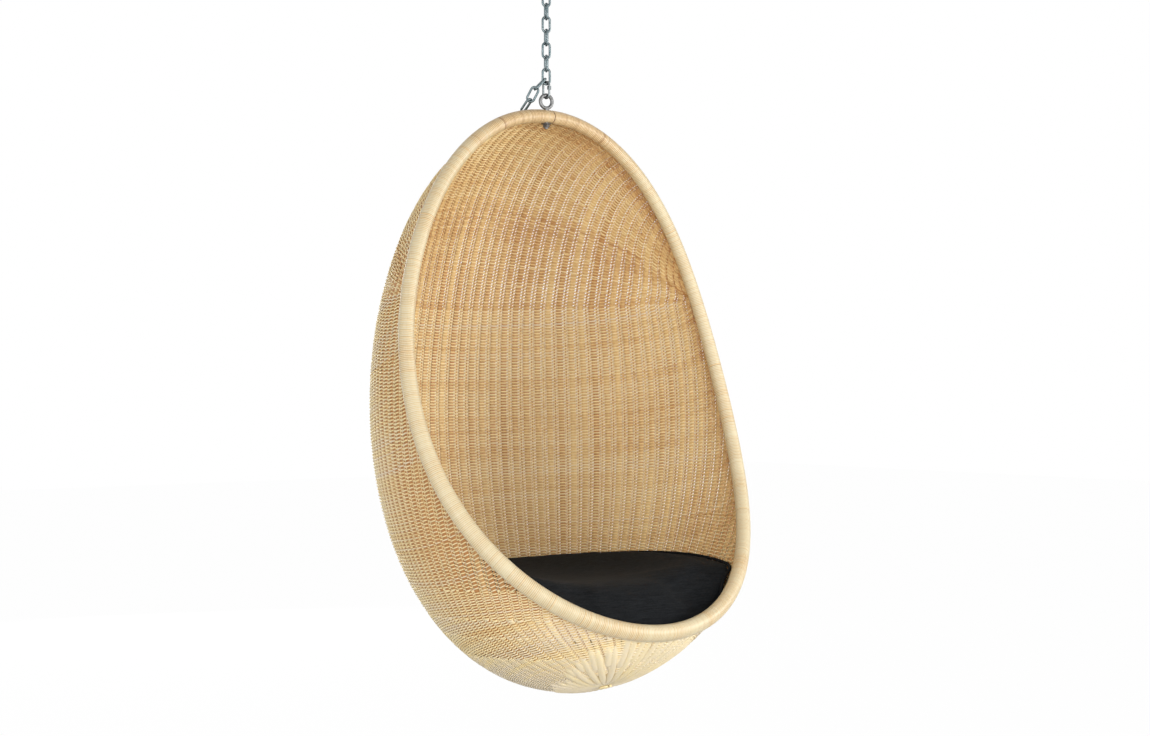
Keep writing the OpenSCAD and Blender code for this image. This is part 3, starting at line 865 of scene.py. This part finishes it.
galvanised = steel_paint("galvanised_steel", (0.13, 0.165, 0.175), 0.08, 0.40)
zinc = steel_paint("zinc_plate", (0.30, 0.31, 0.31), 0.08, 0.35, dirt=0.15)
dull = steel_paint("dull_steel", (0.17, 0.17, 0.17), 0.06, 0.45)
bright = steel_paint("bright_zinc", (0.16, 0.18, 0.185), 0.10, 0.32)
shaded = steel_paint("shaded_steel", (0.07, 0.065, 0.06), 0.03, 0.5)


def nylon_paint():
    p = Paint("nylon", 0.5)
    at = p.where()
    p.colour(p.ramp(p.noise(at, 90.0, 3.0), (0.3, (0.74, 0.72, 0.64)), (0.7, (0.82, 0.80, 0.73))))
    p.bump(p.noise(at, 700.0, 2.0), 0.15, 0.0003)
    return p.material


def pole_paint():
    p = Paint("pole_cane", 0.5)
    at = p.where()
    grain = p.noise(p.scaled(at, (1, 1, 0.2)), 60.0, 4.0)
    p.colour(p.ramp(grain, (0.3, (0.16, 0.09, 0.045)), (0.7, (0.30, 0.18, 0.09))))
    p.bump(p.noise(at, 300.0, 3.0), 0.3, 0.0006)
    return p.material


looks = {"ceiling_plate": zinc, "thrust_washer": nylon_paint(), "swivel_nut": zinc, "swivel_eye": zinc,
         "quick_link": bright, "quick_link_sleeve": bright, "eye_bolt": dull, "eye_washer": shaded, "eye_nut": shaded,
         "rim_pole": pole_paint()}
for name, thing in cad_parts.items():
    if name in ("woven_shell", "rim_binding", "seat_cushion", "cushion_piping"):
        continue
    thing.data.materials.clear()
    thing.data.materials.append(looks.get(name, galvanised))


# ---------------------------------------------------------------- the seat cushion
SEAM_LOW, END_DROP, FRONT_DROP = 347.0, 28.0, 90.0
SEAT_LOW, BASE_LOW, PUFF, BAND, DRAW = 392.0, 562.0, 12.0, 70.0, 6.0
WALL, PIPE_R = 5.8, 3.5
PIPE_GAP = 4 + 1.3 + PIPE_R
SEAM_GAP = max(WALL + DRAW, PIPE_GAP + PIPE_R + 0.6)
RIM_R, SHRINK = 17, 1.0
VOXEL, FRAMES, CAP = 0.007, 20, 12.0


def seam_z(a):
    return -SEAM_LOW - END_DROP * np.cos(a) ** 2 - FRONT_DROP * ease((58 - np.abs(np.degrees(a))) / 32)


def level_seam(a):
    return -SEAM_LOW - END_DROP * np.cos(a) ** 2


def seat_point(a, r, z):
    return np.stack([r * np.sin(a), MIDDLE[1] - r * np.cos(a), MIDDLE[2] + z], -1)


def wall(a, z, gap):
    """How far out the cushion may reach at each angle and height, to stay a gap off the shell and the rim."""
    def free(m):
        q = into_egg(seat_point(a, m, z))
        return (depth(q) < -gap) & (q[..., 1] < mouth(q[..., 2] / HALF) - 1.25 * (RIM_R + gap))

    return narrow(np.zeros_like(a), np.full_like(a, 585.0), free, 26)[0]


def cushion_mesh(shrink):
    n = 160
    a = np.linspace(-math.pi, math.pi, n + 1)[:-1] + math.pi / n
    z = seam_z(a)
    rings = []
    top = wall(a, z, SEAM_GAP + shrink)
    for f in (0.06, 0.14, 0.24, 0.36, 0.48, 0.6, 0.7, 0.79, 0.87, 0.93, 0.97, 1.0):
        rise, fall = level_seam(a) + SEAT_LOW, level_seam(a) - z
        rings.append(seat_point(a, f * top, -SEAT_LOW + rise * f ** 2.2 - fall * f ** 4.5
                                + PUFF * math.sin(math.pi * f ** 3) - shrink))
    for v in (0.08, 0.2, 0.35, 0.5, 0.65, 0.8, 0.92, 1.0):
        zz = z - BAND * v
        rings.append(seat_point(a, wall(a, zz, SEAM_GAP + shrink - DRAW * math.sin(math.pi * v)), zz))
    z0 = z - BAND
    for v in (0.1, 0.22, 0.36, 0.5, 0.64, 0.78, 0.9, 1.0):
        zz = z0 + (-BASE_LOW + shrink - z0) * v
        rings.append(seat_point(a, wall(a, zz, SEAM_GAP + shrink - DRAW * ease(v * 4)), zz))
    points = np.concatenate(rings)
    m = len(rings)
    i, j = np.arange(m - 1)[:, None], np.arange(n)[None]
    q, w = i * n + j, i * n + (j + 1) % n
    quads = np.stack([q, w, w + n, q + n], -1).reshape(-1, 4)
    tris = np.concatenate([quads[:, [0, 1, 2]], quads[:, [0, 2, 3]]])
    points = np.vstack([points, points[:n].mean(0), points[-n:].mean(0)])
    k = np.arange(n)
    caps = np.concatenate([np.stack([k, np.full(n, m * n), (k + 1) % n], 1),
                           np.stack([(m - 1) * n + k, (m - 1) * n + (k + 1) % n, np.full(n, m * n + 1)], 1)])
    return points, np.concatenate([tris, caps])


def cushion_depth(p):
    """Room between a point and the weave or the rim, mm, more is freer."""
    q = into_egg(p)
    return np.minimum(-depth(q) - 5.6, -(past_rim(q)) / 1.25 - 22)


def read(thing, what):
    """One vector per point of a mesh."""
    values = np.empty(len(thing.data.vertices) * 3, np.float32)
    thing.data.vertices.foreach_get(what, values)
    return values.reshape(-1, 3).astype(float)


def build_cushion():
    points, faces = cushion_mesh(SHRINK)
    thing = make_mesh("seat_cushion_cover", points, faces)
    bpy.context.view_layer.objects.active = thing
    thing.select_set(True)
    remesh = thing.modifiers.new("remesh", "REMESH")
    remesh.mode = "VOXEL"
    remesh.voxel_size = VOXEL
    remesh.use_smooth_shade = True
    bpy.ops.object.modifier_apply(modifier="remesh")
    start = read(thing, "co")
    cloth = thing.modifiers.new("cloth", "CLOTH")
    s = cloth.settings
    s.quality = 6
    s.mass = 0.35
    s.tension_stiffness = 18
    s.compression_stiffness = 12
    s.shear_stiffness = 8
    s.bending_stiffness = 0.4
    s.use_pressure = True
    s.uniform_pressure_force = 4
    s.effector_weights.gravity = 0
    cloth.collision_settings.use_collision = False
    cloth.point_cache.frame_start = 1
    cloth.point_cache.frame_end = FRAMES
    for number in range(1, FRAMES + 1):
        scene.frame_set(number)
    end = read(thing.evaluated_get(bpy.context.evaluated_depsgraph_get()), "co")
    thing.modifiers.remove(cloth)
    scene.frame_set(1)
    move = (end - start) * 1000
    move *= np.minimum(1, CAP / np.maximum(np.linalg.norm(move, axis=1), 1e-6))[:, None]
    p = start * 1000
    facing = read(thing, "normal")
    inward = np.minimum((move * facing).sum(1), 0)
    move -= inward[:, None] * facing
    # keep clear of the wall, and leave the seam where its piping lies
    a = np.arctan2(p[:, 0], MIDDLE[1] - p[:, 1])
    seam = np.abs(p[:, 2] - MIDDLE[2] - seam_z(a))
    edge = np.exp(-(seam / 16) ** 2) * (cushion_depth(p) < 30)
    move *= (1 - 0.85 * edge)[:, None]
    q = p + move
    # the edge itself is drawn out to its piping
    reach = np.hypot(p[:, 0], MIDDLE[1] - p[:, 1])
    goal = wall(a, np.clip(p[:, 2] - MIDDLE[2], seam_z(a) - 14, seam_z(a) + 4), PIPE_GAP + PIPE_R * 0.6)
    pull = np.exp(-((p[:, 2] - MIDDLE[2] - seam_z(a)) / 8) ** 2) * np.clip((reach - goal + 30) / 14, 0, 1)
    out = np.stack([np.sin(a), -np.cos(a), 0 * a], -1)
    q += out * (np.maximum(goal - reach, 0) * pull)[:, None]
    for _ in range(6):
        room = cushion_depth(q)
        tight = room < 0
        if not tight.any():
            break
        q[tight] = p[tight] + (q[tight] - p[tight]) * 0.5
    thing.data.vertices.foreach_set("co", (q / 1000).astype(np.float32).ravel())
    thing.data.update()
    return thing


cushion = build_cushion()
bpy.context.view_layer.objects.active = cushion
smooth = cushion.modifiers.new("smooth", "CORRECTIVE_SMOOTH")
smooth.iterations = 4
smooth.use_only_smooth = True
bpy.ops.object.modifier_apply(modifier="smooth")


def cloth_paint(name, light):
    p = Paint(name, 0.85)
    at = p.where()
    streak = p.noise(p.scaled(at, (9, 26, 130)), 3.0, 4.0, 0.65)
    nap = p.noise(p.scaled(at, (220, 420, 900)), 1.0, 3.0, 0.6)
    slow = p.noise(at, 3.5, 3.0)
    value = p.math("ADD", p.math("MULTIPLY", streak, 0.5), p.math("MULTIPLY", nap, 0.5))
    low = (0.0026 * light, 0.0030 * light, 0.0036 * light)
    high = (0.0185 * light, 0.0205 * light, 0.0225 * light)
    base = p.ramp(value, (0.36, low), (0.66, high))
    p.colour(p.mix(p.math("MULTIPLY", slow, 0.5), base, (0.0065 * light, 0.0074 * light, 0.0092 * light)))
    p.shader.inputs["Sheen Weight"].default_value = 0.01
    p.shader.inputs["Specular IOR Level"].default_value = 0.06
    p.bump(value, 0.5, 0.0014)
    return p.material


cushion.data.materials.append(cloth_paint("cushion_cloth", 1.0))
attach(cushion, "cushion")
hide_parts("seat_cushion")


def build_piping():
    n, sides = 260, 12
    a = np.linspace(-math.pi, math.pi, n + 1)[:-1]
    z = seam_z(a)
    line = seat_point(a, wall(a, z, PIPE_GAP + 0.4), z)
    way = unit(np.roll(line, -1, 0) - np.roll(line, 1, 0))
    b = unit(np.cross(way, np.array([0, 0, 1.0])))
    c = np.cross(b, way)
    around = np.arange(sides) * math.pi / 6
    r = PIPE_R * (1 + 0.03 * np.sin(np.arange(n) * 1.9))
    spoke = np.cos(around)[None, :, None] * b[:, None] + np.sin(around)[None, :, None] * c[:, None]
    p = line[:, None] + r[:, None, None] * spoke
    i, j = np.arange(n)[:, None], np.arange(sides)[None]
    k, after = (i + 1) % n, (j + 1) % sides
    faces = np.stack([i * sides + j, i * sides + after, k * sides + after, k * sides + j], -1).reshape(-1, 4)
    return make_mesh("cushion_piping_cord", p.reshape(-1, 3), faces)


piping = build_piping()
piping.data.materials.append(cloth_paint("piping_cloth", 0.9))
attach(piping, "cushion")
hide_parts("cushion_piping")


# ---------------------------------------------------------------- floor, world and lamps
def greater(tree, a, b):
    """The greater of two sockets."""
    made = tree.nodes.new("ShaderNodeMath")
    made.operation = "MAXIMUM"
    tree.links.new(a, made.inputs[0])
    tree.links.new(b, made.inputs[1])
    return made.outputs[0]


def to_white(tree, shader_out, output, amount):
    """Mostly plain white to the camera and in reflections. Its own shader lights everything else."""
    rays = tree.nodes.new("ShaderNodeLightPath").outputs
    scale = tree.nodes.new("ShaderNodeMath")
    scale.operation = "MULTIPLY"
    tree.links.new(greater(tree, rays["Is Camera Ray"], rays["Is Glossy Ray"]), scale.inputs[0])
    scale.inputs[1].default_value = amount
    white = tree.nodes.new("ShaderNodeEmission")
    white.inputs["Color"].default_value = (1, 1, 1, 1)
    white.inputs["Strength"].default_value = 1
    mix = tree.nodes.new("ShaderNodeMixShader")
    tree.links.new(scale.outputs[0], mix.inputs[0])
    tree.links.new(shader_out, mix.inputs[1])
    tree.links.new(white.outputs[0], mix.inputs[2])
    tree.links.new(mix.outputs[0], output)


FLOOR_HALF, FLOOR_Z = 14, -1.95
floor_mesh = bpy.data.meshes.new("floor")
floor_mesh.from_pydata([(x * FLOOR_HALF, y * FLOOR_HALF, FLOOR_Z) for x, y in ((-1, -1), (1, -1), (1, 1), (-1, 1))],
                       [], [(0, 1, 2, 3)])
floor = bpy.data.objects.new("floor", floor_mesh)
scene.collection.objects.link(floor)
floor_paint = Paint("floor", 0.8)
floor_paint.colour((0.62, 0.62, 0.61, 1))
to_white(floor_paint.tree, floor_paint.shader.outputs[0],
         floor_paint.tree.nodes["Material Output"].inputs["Surface"], 0.985)
floor_mesh.materials.append(floor_paint.material)

world = bpy.data.worlds.new("world")
scene.world = world
world.use_nodes = True
sky_tree = world.node_tree
back = sky_tree.nodes["Background"]
rays = sky_tree.nodes.new("ShaderNodeLightPath").outputs
seen = greater(sky_tree, greater(sky_tree, rays["Is Camera Ray"], rays["Is Transmission Ray"]), rays["Is Glossy Ray"])
# the light that the sky gives falls off towards the top
height = sky_tree.nodes.new("ShaderNodeSeparateXYZ")
sky_tree.links.new(sky_tree.nodes.new("ShaderNodeTexCoord").outputs["Generated"], height.inputs[0])
dome = sky_tree.nodes.new("ShaderNodeMapRange")
for name, value in (("From Min", 0.0), ("From Max", 0.9), ("To Min", 0.66), ("To Max", 0.30)):
    dome.inputs[name].default_value = value
sky_tree.links.new(height.outputs["Z"], dome.inputs["Value"])
strength = sky_tree.nodes.new("ShaderNodeMapRange")
strength.inputs["To Max"].default_value = 1.0
sky_tree.links.new(dome.outputs[0], strength.inputs["To Min"])
sky_tree.links.new(seen, strength.inputs["Value"])
sky_tree.links.new(strength.outputs[0], back.inputs["Strength"])
back.inputs["Color"].default_value = (1, 1, 1, 1)


CHAIR_MIDDLE = Vector((0, 0, -0.95))


def lamp(name, at, size, power, colour=(1, 1, 1)):
    data = bpy.data.lights.new(name, "AREA")
    data.shape = "DISK"
    data.size = size
    data.energy = power
    data.color = colour
    thing = bpy.data.objects.new(name, data)
    thing.location = at
    thing.rotation_euler = (CHAIR_MIDDLE - Vector(at)).to_track_quat("-Z", "Y").to_euler()
    scene.collection.objects.link(thing)


lamp("key", (3.2, -4.1, -0.6), 2.0, 160, (1, 0.99, 0.97))
lamp("front", (-1.0, -5.4, -0.8), 2.4, 120)
lamp("fill", (-4.4, -2.2, -1.0), 3.0, 135)
lamp("behind", (1.6, 4.6, -0.7), 2.6, 100)

scene.view_settings.view_transform = "Standard"
